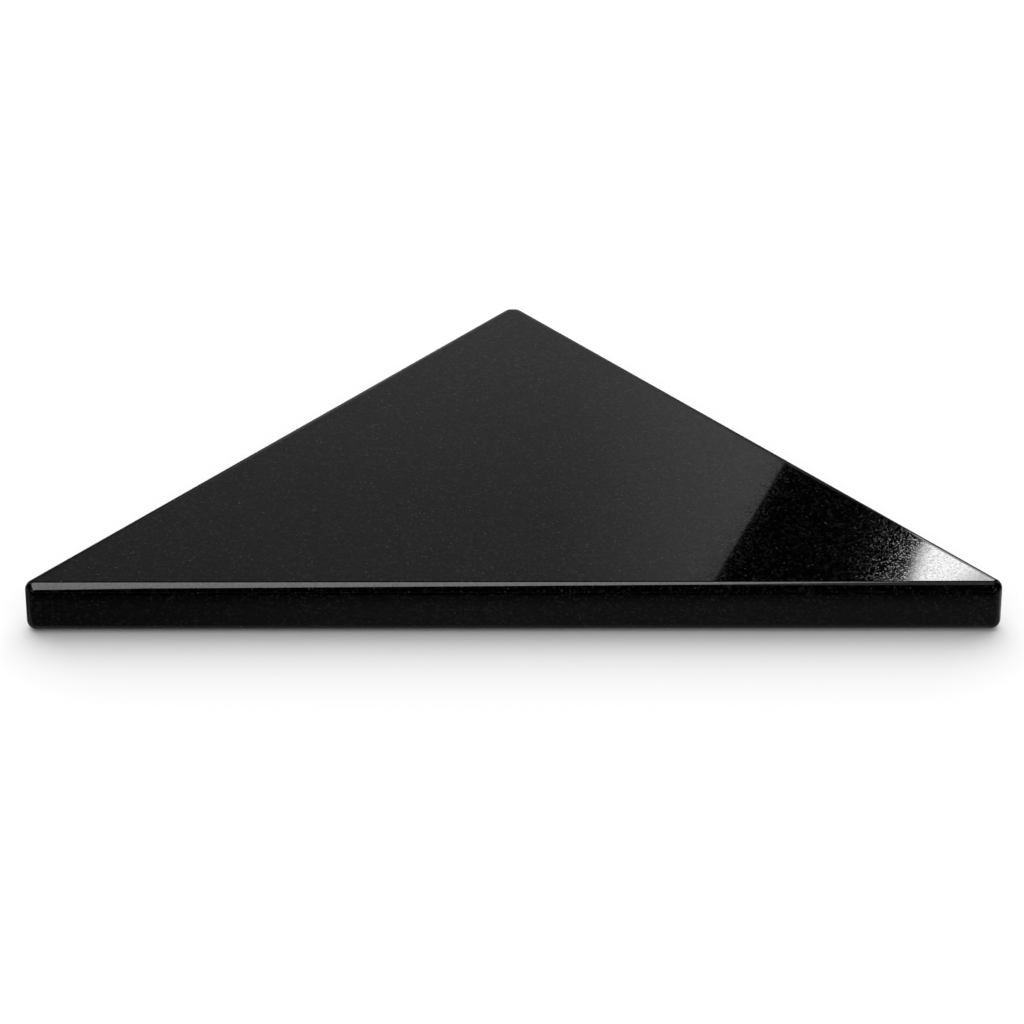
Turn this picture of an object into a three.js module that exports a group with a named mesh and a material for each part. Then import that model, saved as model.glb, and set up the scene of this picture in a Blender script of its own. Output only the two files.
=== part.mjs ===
// A polished black granite slab: a right-angled triangle with two equal legs, cut from one sheet of stone.
// Millimetres, +Z up. The long edge faces -Y and the right-angled corner points to +Y.
// The origin is the centre of the underside's bounding box, on the surface that the slab rests on.
import * as THREE from 'three';

// Driving dimensions
const legLength = 228.6;        // each leg, measured to the sharp corner it would have uncut
const thickness = 18.5;
const arrisRadius = 3.175;      // quarter round on every top and bottom edge
const cornerRadius = 3.3;       // upright corners, seen from above; a little more than arrisRadius
const apexClip = 2.1;           // how much of the right-angled corner is ground off, along its bisector
const roundSteps = 8;           // facets across a quarter round
const cornerStep = Math.PI / 16; // turn of one facet round an upright corner
const graniteColour = 0x0b0b0c;

// The sharp triangle that the plan starts from
const halfWidth = legLength / Math.SQRT2;
const apexDepth = halfWidth;
const clippedDepth = apexDepth - apexClip;
const centreOfDepth = clippedDepth / 2;

// The plan's straight sides, each as the direction its edge face looks in and its distance from the triangle's
// front centre, in order round the slab.
const sides = [
  { angle: -Math.PI / 2, distance: 0 },                        // long front edge
  { angle: Math.PI / 4, distance: halfWidth * Math.SQRT1_2 },  // right leg
  { angle: Math.PI / 2, distance: clippedDepth },              // clipped apex
  { angle: 3 * Math.PI / 4, distance: halfWidth * Math.SQRT1_2 }, // left leg
];

// Where two sides meet after both have moved inwards by inset
function meeting(first, second, inset) {
  const a = first.distance - inset;
  const b = second.distance - inset;
  const turn = Math.sin(second.angle - first.angle);
  return new THREE.Vector2(
    (a * Math.sin(second.angle) - b * Math.sin(first.angle)) / turn,
    (b * Math.cos(first.angle) - a * Math.cos(second.angle)) / turn,
  );
}

// The plan outline: straight sides joined by arcs, one arc at each corner
function planOutline() {
  const plan = new THREE.Shape();
  sides.forEach((side, i) => {
    const next = sides[(i + 1) % sides.length];
    const centre = meeting(side, next, cornerRadius);
    const turn = THREE.MathUtils.euclideanModulo(next.angle - side.angle, 2 * Math.PI);
    const steps = Math.ceil(turn / cornerStep);
    for (let k = 0; k <= steps; k++) {
      const angle = side.angle + turn * k / steps;
      const x = centre.x + cornerRadius * Math.cos(angle);
      const y = centre.y + cornerRadius * Math.sin(angle) - centreOfDepth;
      if (i === 0 && k === 0) plan.moveTo(x, y);
      else plan.lineTo(x, y);
    }
  });
  plan.closePath();
  return plan;
}

function graniteSlab() {
  const body = new THREE.ExtrudeGeometry(planOutline(), {
    depth: thickness - 2 * arrisRadius,
    bevelEnabled: true,
    bevelThickness: arrisRadius,
    bevelSize: arrisRadius,
    bevelOffset: -arrisRadius,
    bevelSegments: roundSteps,
    steps: 1,
  });
  body.translate(0, 0, arrisRadius);
  const stone = new THREE.MeshStandardMaterial({ color: graniteColour, roughness: 0.08, metalness: 0 });
  const slab = new THREE.Mesh(body, stone);
  slab.name = 'granite_slab';
  return slab;
}

const object = new THREE.Group();
object.add(graniteSlab());

export default object;
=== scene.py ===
import math

import bpy
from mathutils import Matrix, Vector


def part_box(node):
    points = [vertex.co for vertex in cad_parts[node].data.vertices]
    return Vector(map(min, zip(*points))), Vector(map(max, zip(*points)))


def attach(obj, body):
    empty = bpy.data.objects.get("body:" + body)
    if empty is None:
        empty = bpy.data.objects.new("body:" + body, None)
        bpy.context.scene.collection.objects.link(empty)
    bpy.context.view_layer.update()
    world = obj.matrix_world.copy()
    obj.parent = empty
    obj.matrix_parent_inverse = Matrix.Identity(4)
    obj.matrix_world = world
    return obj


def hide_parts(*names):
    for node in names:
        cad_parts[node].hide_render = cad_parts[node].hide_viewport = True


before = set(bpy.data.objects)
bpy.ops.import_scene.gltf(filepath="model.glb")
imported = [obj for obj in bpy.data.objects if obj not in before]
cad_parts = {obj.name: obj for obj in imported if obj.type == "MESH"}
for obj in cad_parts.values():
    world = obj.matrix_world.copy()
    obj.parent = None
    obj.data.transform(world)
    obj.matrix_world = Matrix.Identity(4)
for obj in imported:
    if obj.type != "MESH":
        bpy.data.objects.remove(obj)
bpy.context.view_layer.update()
stoneNode = "granite_slab"
lowCorner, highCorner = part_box(stoneNode)
slabDepth = highCorner.y - lowCorner.y
slabTop = highCorner.z
print("frame loaded")


class Wire:
    # one output socket, so that node sums read as ordinary sums
    def __init__(self, graph, socket):
        self.graph = graph
        self.socket = socket

    def maths(self, operation, *others):
        return self.graph.add("ShaderNodeMath", {"operation": operation}, dict(enumerate((self, *others))))

    def output(self, name):
        return Wire(self.graph, self.socket.node.outputs[name])

    def __add__(self, other):
        return self.maths("ADD", other)

    def __radd__(self, other):
        return self.maths("ADD", other)

    def __sub__(self, other):
        return self.maths("SUBTRACT", other)

    def __rsub__(self, other):
        return self.graph.add("ShaderNodeMath", {"operation": "SUBTRACT"}, {0: other, 1: self})

    def __mul__(self, other):
        return self.maths("MULTIPLY", other)

    def __rmul__(self, other):
        return self.maths("MULTIPLY", other)

    def __truediv__(self, other):
        return self.maths("DIVIDE", other)

    def __rtruediv__(self, other):
        return self.graph.add("ShaderNodeMath", {"operation": "DIVIDE"}, {0: other, 1: self})

    def __gt__(self, other):
        return self.maths("GREATER_THAN", other)

    def __lt__(self, other):
        return self.maths("LESS_THAN", other)


class Graph:
    # adds nodes to one tree: settings first, then the values or links of its sockets
    def __init__(self, tree):
        self.tree = tree

    def add(self, kind, settings=None, sockets=None, output=0):
        node = self.tree.nodes.new(kind)
        for name, value in (settings or {}).items():
            setattr(node, name, value)
        for name, value in (sockets or {}).items():
            socket = node.inputs[name]
            if isinstance(value, Wire):
                self.tree.links.new(value.socket, socket)
            else:
                socket.default_value = value
        return Wire(self, node.outputs[output]) if node.outputs else node

    def vector(self, operation, *values):
        return self.add("ShaderNodeVectorMath", {"operation": operation}, dict(enumerate(values)))

    def scaled(self, vector, amount):
        settings = {"operation": "SCALE"}
        return self.add("ShaderNodeVectorMath", settings, {"Vector": vector, "Scale": amount})

    def ramp(self, value, low, high):
        # 0 below low, 1 above high, smooth between them
        settings = {"interpolation_type": "SMOOTHSTEP"}
        return self.add("ShaderNodeMapRange", settings, {"Value": value, "From Min": low, "From Max": high})

    def mixColour(self, amount, first, second):
        # sockets 6 and 7 are the two colours, output 2 is their mix
        sockets = {"Factor": amount, 6: first, 7: second}
        return self.add("ShaderNodeMix", {"data_type": "RGBA"}, sockets, 2)


def grey(tone):
    return (tone, tone, tone, 1.0)


viewpoint = {
    "azimuth": -0.10,      # degrees round the slab
    "elevation": 36.43,
    "distance": 1.8849,
    "lens": 203.2,
    "aimAcross": -0.0005,
    "aimBack": 0.2536,     # share of the slab's depth behind its front edge
}


def makeCamera():
    turn = math.radians(viewpoint["azimuth"])
    rise = math.radians(viewpoint["elevation"])
    aim = Vector((viewpoint["aimAcross"], lowCorner.y + viewpoint["aimBack"] * slabDepth, slabTop))
    away = Vector((math.sin(turn) * math.cos(rise), -math.cos(turn) * math.cos(rise), math.sin(rise)))
    lensData = bpy.data.cameras.new("studioCamera")
    lensData.lens = viewpoint["lens"]
    camera = bpy.data.objects.new("studioCamera", lensData)
    camera.location = aim + away * viewpoint["distance"]
    camera.rotation_euler = (-away).to_track_quat("-Z", "Y").to_euler()
    bpy.context.scene.collection.objects.link(camera)
    bpy.context.scene.camera = camera


makeCamera()
bpy.context.scene.view_settings.view_transform = "Standard"
print("camera placed")


stoneFinish = {
    "ground": (0.0004, 0.0004, 0.00044, 1.0),   # the black mass of the stone
    "paleGrain": (0.0075, 0.0075, 0.0078, 1.0),
    "fleck": (0.042, 0.042, 0.043, 1.0),
    "sawnStone": (0.022, 0.022, 0.023, 1.0),
    "sawnGrain": (0.085, 0.085, 0.088, 1.0),
    "grainSize": 0.00065,
    "grainWobble": 0.7,     # how far the grain outlines wander, in grains
    "wobbleFineness": 1.4,  # wanders in the length of a grain
    "paleShare": 0.30,      # share of the grains that are paler than the ground
    "paleLeast": 0.45,      # how pale they are where the drift of tone is darkest
    "driftScale": 38.0,     # the drift of tone: turns in a metre
    "fleckSize": 0.00052,
    "fleckShare": 0.014,    # share of the small cells that hold a bright fleck
    "fleckSpan": (0.55, 0.30),
    "polish": 0.030,        # roughness of the polished faces
    "dullPolish": 0.036,    # extra roughness of the dull patches
    "dullFineness": 1.15,   # dull patches in the length of a grain
    "dullDistortion": 0.4,
    "dullFrom": 0.53,       # how much of the surface is dull: lower for more
    "dullEdge": 0.04,       # how softly a dull patch ends
    "facetSize": 0.00024,   # the fine facets that the dull patches are made of
    "facetSlope": 0.026,    # how far apart the slopes of the facets are
    "facetLean": 0.17,      # share of that by which all of them lean one way
    "edgePolish": 0.015,    # extra roughness where edges were finished by hand
    "edgeFromSide": (0.04, 0.25),   # where a rounded edge begins and ends, by how far it looks up
    "edgeFromTop": (0.998, 0.96),
    "shineSpread": 0.25,    # how much more the shiniest grains mirror than the dimmest
    "sawnRoughness": 0.62,
    "sawnHeights": (0.00035, 0.00005),   # the underside starts below these
    "sawPitch": 0.0021,     # spacing of the saw marks on the underside
    "sawSpacing": 0.314,    # spacing of the wave texture's bands at scale 1
    "sawDistortion": 0.6,
    "sawDepth": 0.00015,
    "sawTone": 0.45,        # how far the saw marks show in the colour
    "sawnMottle": 0.25,     # how far the sawn grains differ from each other
}


def emptyMaterial(name):
    material = bpy.data.materials.new(name)
    material.use_nodes = True
    material.node_tree.nodes.clear()
    return material, Graph(material.node_tree)


def graniteMaterial():
    finish = stoneFinish
    material, graph = emptyMaterial("polishedGranite")
    place = graph.add("ShaderNodeTexCoord", output="Object")
    height = graph.add("ShaderNodeSeparateXYZ", sockets={0: place}, output=2)

    # crystals: cells with edges roughened by fine noise
    fineness = finish["wobbleFineness"] / finish["grainSize"]
    wobble = graph.add("ShaderNodeTexNoise", sockets={
        "Vector": place, "Scale": fineness, "Detail": 1.0}, output="Color")
    wobble = graph.vector("SUBTRACT", wobble, (0.5, 0.5, 0.5))
    bent = graph.vector("ADD", place, graph.scaled(wobble, finish["grainWobble"] * finish["grainSize"]))
    crystals = graph.add("ShaderNodeTexVoronoi", sockets={
        "Vector": bent, "Scale": 1.0 / finish["grainSize"]}, output="Color")
    kind = graph.add("ShaderNodeSeparateColor", sockets={0: crystals}, output=0)
    shine = kind.output(2) * finish["shineSpread"]
    isPale = graph.ramp(kind, 1.0 - finish["paleShare"], 1.0)
    mottle = graph.add("ShaderNodeTexNoise", sockets={
        "Vector": place, "Scale": finish["dullFineness"] / finish["grainSize"], "Detail": 2.0,
        "Distortion": finish["dullDistortion"]})
    dullness = graph.ramp(mottle, finish["dullFrom"], finish["dullFrom"] + finish["dullEdge"])

    # flecks: a few small bright cells
    fleckCells = graph.add("ShaderNodeTexVoronoi", sockets={
        "Vector": bent, "Scale": 1.0 / finish["fleckSize"]}, output="Color")
    fleckChance = graph.add("ShaderNodeSeparateColor", sockets={0: fleckCells}, output=1)
    fleckEdge = graph.ramp(fleckCells.output("Distance"), *finish["fleckSpan"])
    isFleck = (fleckChance > 1.0 - finish["fleckShare"]) * fleckEdge

    # where the surface is: underside, or the rounded edges
    isUnder = graph.ramp(height, *finish["sawnHeights"])
    normal = graph.add("ShaderNodeNewGeometry", output="Normal")
    upness = graph.add("ShaderNodeSeparateXYZ", sockets={0: normal}, output=2).maths("ABSOLUTE")
    isRounded = graph.ramp(upness, *finish["edgeFromSide"]) * graph.ramp(upness, *finish["edgeFromTop"])

    # the pale grains drift in tone over a few centimetres
    drift = graph.add("ShaderNodeTexNoise", sockets={
        "Vector": place, "Scale": finish["driftScale"], "Detail": 4.0})
    paleness = isPale * (finish["paleLeast"] + drift)
    colour = graph.mixColour(paleness, finish["ground"], finish["paleGrain"])
    colour = graph.mixColour(isFleck, colour, finish["fleck"])
    sawMarks = graph.add("ShaderNodeTexWave", {"bands_direction": "X"}, {
        "Vector": place, "Scale": finish["sawSpacing"] / finish["sawPitch"],
        "Distortion": finish["sawDistortion"], "Detail": 2.0})
    sawnTone = (isPale + finish["sawnMottle"] * kind) * (1.0 - finish["sawTone"] * sawMarks)
    sawn = graph.mixColour(sawnTone, finish["sawnStone"], finish["sawnGrain"])
    colour = graph.mixColour(isUnder, colour, sawn)

    polished = finish["polish"] + finish["dullPolish"] * dullness + finish["edgePolish"] * isRounded
    roughness = polished + isUnder * (finish["sawnRoughness"] - polished)

    # the dull patches are fine facets, each polished at its own slight slope
    facets = graph.add("ShaderNodeTexVoronoi", sockets={
        "Vector": place, "Scale": 1.0 / finish["facetSize"]}, output="Color")
    lean = graph.vector("SUBTRACT", facets, (0.5 - finish["facetLean"], 0.5, 0.5))
    lean = graph.scaled(lean, finish["facetSlope"] * dullness)
    leaning = graph.vector("NORMALIZE", graph.vector("ADD", normal, lean))
    marked = graph.add("ShaderNodeBump", sockets={
        "Strength": isUnder, "Distance": finish["sawDepth"], "Height": sawMarks, "Normal": leaning})

    shader = graph.add("ShaderNodeBsdfPrincipled", sockets={
        "Base Color": colour, "Roughness": roughness, "Normal": marked, "IOR": 1.50,
        "Coat Weight": shine * (1.0 - isUnder), "Coat Roughness": finish["polish"]})
    graph.add("ShaderNodeOutputMaterial", sockets={0: shader})
    return material


slabShape = {
    "legLength": 0.2286,
    "arrisRadius": 0.003175,
    "cornerRadius": 0.0033,
    "apexClip": 0.0021,
    "cornerPoints": 24,     # points round each upright corner
    "roundSteps": 20,       # faces across each quarter round
}


def slabTree(material):
    # rings of points from the top face down to the underside, each ring the plan outline moved inwards
    tree = bpy.data.node_groups.new("slabShape", "GeometryNodeTree")
    tree.interface.new_socket("Geometry", in_out="OUTPUT", socket_type="NodeSocketGeometry")
    for name in ("legLength", "thickness", "arrisRadius", "cornerRadius", "apexClip"):
        tree.interface.new_socket(name, in_out="INPUT", socket_type="NodeSocketFloat")
    for name in ("cornerPoints", "roundSteps"):
        tree.interface.new_socket(name, in_out="INPUT", socket_type="NodeSocketInt")
    graph = Graph(tree)
    given = graph.add("NodeGroupInput")
    leg, thickness, arris, corner, clip, cornerPoints, roundSteps = (
        given.output(item.name) for item in tree.interface.items_tree if item.in_out == "INPUT")

    around = cornerPoints * 4.0
    tube = graph.add("GeometryNodeMeshCylinder", {"fill_type": "NGON"}, {
        "Vertices": around, "Side Segments": roundSteps * 2.0 + 1.0})
    index = graph.add("GeometryNodeInputIndex")
    ring = (index / around).maths("FLOOR")
    point = index - ring * around
    cornerIndex = (point / cornerPoints).maths("FLOOR")
    along = (point - cornerIndex * cornerPoints) / (cornerPoints - 1.0)

    # corners in order: front right, back right, back left, front left
    isBack = (cornerIndex > 0.5) * (cornerIndex < 2.5)
    isLeft = cornerIndex > 1.5
    quarter = math.pi / 4
    turn = quarter * (3.0 - 2.0 * isBack)
    start = quarter * (-2.0 + 3.0 * cornerIndex.maths("MINIMUM", 1.0) + isLeft + (cornerIndex > 2.5))
    angle = start + turn * along
    halfWidth = leg * math.sqrt(0.5)
    frontAcross = halfWidth - corner * (1.0 + math.sqrt(2.0))
    backAcross = clip - corner * (math.sqrt(2.0) - 1.0)
    across = (frontAcross + isBack * (backAcross - frontAcross)) * (1.0 - 2.0 * isLeft)
    backDepth = halfWidth - clip - corner
    depth = corner + isBack * (backDepth - corner) - (halfWidth - clip) * 0.5

    # the edge's tilt: straight up on the top face, level on the sides, straight down on the underside
    onTop = ring.maths("MINIMUM", roundSteps) / roundSteps
    onBottom = (ring - roundSteps - 1.0).maths("MAXIMUM", 0.0) / roundSteps
    tilt = (1.0 - onTop - onBottom) * math.pi / 2
    isLower = ring > roundSteps + 0.5
    reach = corner - arris + arris * tilt.maths("COSINE")
    centreHeight = thickness - arris + isLower * (2.0 * arris - thickness)
    outward = angle.maths("COSINE")
    backward = angle.maths("SINE")
    position = graph.add("ShaderNodeCombineXYZ", sockets={
        0: across + reach * outward,
        1: depth + reach * backward,
        2: centreHeight + arris * tilt.maths("SINE")})
    facing = graph.add("ShaderNodeCombineXYZ", sockets={
        0: tilt.maths("COSINE") * outward,
        1: tilt.maths("COSINE") * backward,
        2: tilt.maths("SINE")})

    shaped = graph.add("GeometryNodeSetPosition", sockets={"Geometry": tube, "Position": position})
    smooth = graph.add("GeometryNodeSetShadeSmooth", sockets={0: shaped})
    shaded = graph.add("GeometryNodeSetMeshNormal", {"mode": "FREE", "domain": "POINT"}, {
        "Mesh": smooth, "Custom Normal": facing})
    real = graph.add("GeometryNodeRealizeInstances", sockets={0: shaded})
    finished = graph.add("GeometryNodeSetMaterial", sockets={"Geometry": real, "Material": material})
    graph.add("NodeGroupOutput", sockets={0: finished})
    return tree


def makeSlab(material):
    shell = bpy.data.objects.new("slabSource", bpy.data.meshes.new("slabSource"))
    bpy.context.scene.collection.objects.link(shell)
    modifier = shell.modifiers.new("shape", "NODES")
    modifier.node_group = slabTree(material)
    sizes = dict(slabShape, thickness=slabTop)
    for item in modifier.node_group.interface.items_tree:
        if item.in_out == "INPUT":
            modifier[item.identifier] = sizes[item.name]
    depsgraph = bpy.context.evaluated_depsgraph_get()
    mesh = bpy.data.meshes.new_from_object(shell.evaluated_get(depsgraph))
    bpy.data.objects.remove(shell)
    mesh.name = "graniteSlab"
    slab = bpy.data.objects.new("graniteSlab", mesh)
    bpy.context.scene.collection.objects.link(slab)
    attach(slab, "root")
    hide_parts(stoneNode)


makeSlab(graniteMaterial())
print("slab made")


studio = {
    "floorReach": 9.0,
    "floorTone": 0.85,
    "skyElevation": 50.0,   # middle of the soft light behind the slab, degrees above the floor
    "skySpread": 90.0,      # how wide that light is, degrees
    "skyStrength": 2.46,
    "fill": 0.637,          # light from all round
    "backdrop": 1.0,        # what the camera sees past the floor
    "roomTone": 0.30,       # what the polished faces mirror where no card stands
}


def makePanel(name, corners, material):
    mesh = bpy.data.meshes.new(name)
    mesh.from_pydata(corners, [], [range(len(corners))])
    mesh.materials.append(material)
    panel = bpy.data.objects.new(name, mesh)
    bpy.context.scene.collection.objects.link(panel)
    return panel


def flatPanel(halfWidth, front, back, height):
    return [(-halfWidth, front, height), (halfWidth, front, height), (halfWidth, back, height),
            (-halfWidth, back, height)]


def makeFloor():
    material, graph = emptyMaterial("paleFloor")
    shader = graph.add("ShaderNodeBsdfDiffuse", sockets={"Color": grey(studio["floorTone"])})
    graph.add("ShaderNodeOutputMaterial", sockets={0: shader})
    reach = studio["floorReach"]
    floor = makePanel("studioFloor", flatPanel(reach, -reach, reach, 0.0), material)
    floor.visible_glossy = False


def makeWorld():
    world = bpy.data.worlds.new("studioRoom")
    world.use_nodes = True
    world.node_tree.nodes.clear()
    bpy.context.scene.world = world
    graph = Graph(world.node_tree)
    seen = graph.add("ShaderNodeLightPath", output="Is Camera Ray")
    mirrored = seen.output("Is Glossy Ray")
    strength = seen * studio["backdrop"] + mirrored * studio["roomTone"]
    strength = strength + (1.0 - seen - mirrored) * studio["fill"]
    light = graph.add("ShaderNodeBackground", sockets={"Color": grey(1.0), "Strength": strength})
    graph.add("ShaderNodeOutputWorld", sockets={0: light})


def makeSky():
    data = bpy.data.lights.new("softSky", "SUN")
    data.energy = studio["skyStrength"]
    data.angle = math.radians(studio["skySpread"])
    sky = bpy.data.objects.new("softSky", data)
    sky.rotation_euler = (math.radians(studio["skyElevation"] - 90.0), 0, 0)
    sky.visible_glossy = False
    bpy.context.scene.collection.objects.link(sky)


makeFloor()
makeWorld()
makeSky()
print("floor and lights placed")


# The polished stone mirrors the cards below and nothing else sees them: they give no light and no shadow.
# A card's glow is one grey all over, or a function that works it out from the place on it.
def makeCard(name, corners, glow=grey(0.0)):
    material, graph = emptyMaterial(name)
    if callable(glow):
        place = graph.add("ShaderNodeTexCoord", output="Object")
        across = graph.add("ShaderNodeSeparateXYZ", sockets={0: place})
        glow = glow(graph, across, across.output("Y"), across.output("Z"))
    shader = graph.add("ShaderNodeEmission", sockets={"Color": glow})
    graph.add("ShaderNodeOutputMaterial", sockets={0: shader})
    card = makePanel(name, corners, material)
    card.visible_camera = False
    card.visible_diffuse = False
    card.visible_transmission = False
    card.visible_volume_scatter = False
    card.visible_shadow = False


def leaningEdge(card):
    # the foot and the top of an edge that passes through a given point; its tilt is in degrees
    edgeAcross, edgeHeight = card["edge"]
    slope = math.tan(math.radians(card["tilt"]))
    behind = card["behind"]
    return [(edgeAcross + slope * (height - edgeHeight), behind, height) for height in card["heights"]]


def movedAcross(point, across):
    return (point[0] + across, *point[1:])


# Distances behind are from the slab's centre, heights from the floor, and all are metres.
backCard = {
    "behind": 0.700,
    "edge": (0.152, 0.568),      # a point on its right edge: across, height
    "tilt": -23.0,
    "left": -0.68,
    "heights": (0.0, 0.66),
    "tone": 0.266,               # what the flat face mirrors of it in the front middle
    "toneHeight": 0.60,
    "toneAcross": 0.19,          # how the tone grows to the right, and with each metre further down
    "toneDrop": 0.58,
    "toneDropCurve": 5.5,
    "rise": 0.27,                # how much brighter its right part is
    "riseSpan": (0.01, 0.13),
    "lowTone": 0.46,             # lower down, where only the legs' rounded edges mirror it
    "lowFade": 5.5,
    "lowLeast": 0.10,
    "lowSpan": (0.39, 0.44),
    "lowSlant": 0.67,
    "leftLift": 0.14,            # a paler patch low on its left
    "leftSpan": (-0.09, -0.14, -0.215, -0.25),
}


def makeBackCard():
    card = backCard

    def glow(graph, across, behind, height):
        drop = card["toneHeight"] - height
        upper = card["tone"] + card["toneAcross"] * across
        upper = upper + drop * (card["toneDrop"] + card["toneDropCurve"] * drop)
        upper = upper + graph.ramp(across, *card["riseSpan"]) * card["rise"]
        lower = (card["lowTone"] - card["lowFade"] * across * across).maths("MAXIMUM", card["lowLeast"])
        near, full, fade, end = card["leftSpan"]
        lower = lower + card["leftLift"] * graph.ramp(across, near, full) * graph.ramp(across, end, fade)
        isUpper = graph.ramp(height - card["lowSlant"] * across.maths("ABSOLUTE"), *card["lowSpan"])
        return lower + isUpper * (upper - lower)

    foot, top = leaningEdge(card)
    left = card["left"]
    makeCard("backCard", [(left, *foot[1:]), foot, top, (left, *top[1:])], glow)


# A narrow black flag close behind the slab: its left edge is the clean end of the grey reflection.
edgeFlag = {
    "behind": 0.20,
    "edge": (0.0811, 0.2184),
    "tilt": -24.5,
    "width": 0.045,
    "heights": (0.168, 0.28),
}


def makeEdgeFlag():
    foot, top = leaningEdge(edgeFlag)
    width = edgeFlag["width"]
    makeCard("edgeFlag", [foot, movedAcross(foot, width), movedAcross(top, width), top])


# A tall soft lamp at the right: its top stands in the flat face, the rest in the right leg's rounded edge.
cornerLamp = {
    "behind": 0.690,
    "edge": (0.1980, 0.5906),
    "tilt": -12.0,
    "softness": 0.006,
    "strength": 12.6,
    "lowStrength": 2.8,
    "lowSpan": (0.53, 0.57),
    "glow": 0.11,                # a weak glow just left of it
    "glowSpan": (0.177, 0.191),
    "fade": 0.5,                 # share of its strength lost at its right
    "fadeSpan": (0.2175, 0.2395),
    "outline": [(0.168, 0.66), (0.178, 0.60), (0.192, 0.583), (0.212, 0.565), (0.262, 0.37), (0.290, 0.26),
                (0.306, 0.20), (0.400, 0.20), (0.400, 0.66)],
}


def makeCornerLamp():
    lamp = cornerLamp

    def glow(graph, across, behind, height):
        edgeAcross, edgeHeight = lamp["edge"]
        lift = height - edgeHeight
        inside = across - edgeAcross - math.tan(math.radians(lamp["tilt"])) * lift
        upper = lamp["strength"] * graph.ramp(inside, -lamp["softness"], lamp["softness"])
        upper = upper + lamp["glow"] * graph.ramp(across, *lamp["glowSpan"])
        upper = upper * (1.0 - lamp["fade"] * graph.ramp(across + lift, *lamp["fadeSpan"]))
        return lamp["lowStrength"] + graph.ramp(height, *lamp["lowSpan"]) * (upper - lamp["lowStrength"])

    makeCard("cornerLamp", [(x, lamp["behind"], z) for x, z in lamp["outline"]], glow)


# The light box overhead draws the bright line along the front edge. Its outline is seen from above, measured
# back from the slab's front edge, and the wing is its dim right part.
overhead = {
    "above": 0.5,
    "strength": 3.2,
    "outline": [(-0.50, 0.31), (-0.50, -1.30), (-0.235, -0.85), (-0.163, -0.47), (0.0, -0.162),
                (0.085, -0.01), (0.160, 0.235), (0.170, 0.31)],
    "wingStrength": 0.45,
    "wing": [(0.170, 0.31), (0.160, 0.235), (0.085, -0.01), (0.070, -0.05), (0.100, -0.10), (0.32, -0.12),
             (0.32, 0.31)],
}


def makeOverhead():
    height = slabTop + overhead["above"]
    parts = {"overheadBox": ("outline", "strength"), "overheadWing": ("wing", "wingStrength")}
    for name, (outline, strength) in parts.items():
        corners = [(x, lowCorner.y + y, height) for x, y in overhead[outline]]
        makeCard(name, corners, grey(overhead[strength]))


# Black cards round the set, so that the stone mirrors black between the lights
blackCards = {
    "ceilingWidth": 1.4,
    "ceilingEnd": 0.31,         # behind the slab's front edge
    "ceilingGap": 0.01,         # above the light box
    "frontWidth": 1.0,
    "frontAt": -1.4,
    "backWidth": 1.8,
    "backAt": 0.9,
    "backHeight": 1.8,
    "sideAt": 0.7,              # left and right of the slab's centre
    "sideSpan": (-0.5, 0.35),
    "below": -0.1,
}


def uprightPanel(start, end, low, high):
    # start and end are the two ends of its foot, seen from above
    return [(*start, low), (*end, low), (*end, high), (*start, high)]


def makeBlackCards():
    size = blackCards
    above = slabTop + overhead["above"] + size["ceilingGap"]
    low = size["below"]
    front = size["frontAt"]
    half = size["ceilingWidth"] / 2
    makeCard("blackCeiling", flatPanel(half, front, lowCorner.y + size["ceilingEnd"], above))
    half = size["backWidth"] / 2
    back = size["backAt"]
    makeCard("blackBack", uprightPanel((-half, back), (half, back), low, size["backHeight"]))
    half = size["frontWidth"] / 2
    makeCard("blackFront", uprightPanel((-half, front), (half, front), low, above))
    near, far = size["sideSpan"]
    for name, side in (("blackLeft", -size["sideAt"]), ("blackRight", size["sideAt"])):
        makeCard(name, uprightPanel((side, near), (side, far), low, above))


# What the upright faces and the lower edges mirror of the floor. Distances are from the slab's outline.
groundTones = {
    "depth": -0.001,             # the card lies this far under the floor
    "near": 0.112,               # in front of the slab
    "nearSpan": (0.026, 0.013),
    "nearLeft": 0.45,            # share of that at the left end
    "nearLeftSpan": (-0.17, -0.02),
    "far": 0.10,                 # well in front of it
    "farSpan": (0.08, 0.25),
    "strip": 0.18,               # right under the front edge
    "stripSpan": (0.0046, 0.0038),
    "behind": 0.20,
    "behindRight": 0.06,
    "behindRightSpan": (0.03, 0.05),
    "behindSpan": (-0.003, -0.005),
    "right": 0.45,               # beside the right corner
    "left": 0.06,
    "sideGap": 0.0002,           # these two start this far out, rise over sideStart and fade over sideSpan
    "sideStart": 0.0004,
    "sideSpan": (0.06, 0.03),
}


def makeGround():
    tones = groundTones
    side = highCorner.x + tones["sideGap"]

    def glow(graph, across, behind, height):
        ahead = lowCorner.y - behind
        share = tones["nearLeft"] + (1.0 - tones["nearLeft"]) * graph.ramp(across, *tones["nearLeftSpan"])
        front = tones["near"] * share * graph.ramp(ahead, *tones["nearSpan"])
        front = front + graph.ramp(ahead, *tones["stripSpan"]) * (tones["strip"] - front)
        front = front + tones["far"] * graph.ramp(ahead, *tones["farSpan"])
        isRight = graph.ramp(across, *tones["behindRightSpan"])
        back = tones["behind"] + (tones["behindRight"] - tones["behind"]) * isRight
        for tone, beyond in ((tones["right"], across - side), (tones["left"], -1.0 * across - side)):
            isBeside = graph.ramp(beyond, 0.0, tones["sideStart"]) * graph.ramp(beyond, *tones["sideSpan"])
            back = back + isBeside * (tone - back)
        return front + graph.ramp(ahead, *tones["behindSpan"]) * (back - front)

    reach = studio["floorReach"]
    makeCard("darkGround", flatPanel(reach, -reach, reach, tones["depth"]), glow)


makeBackCard()
makeEdgeFlag()
makeCornerLamp()
makeOverhead()
makeBlackCards()
makeGround()
print("cards placed")
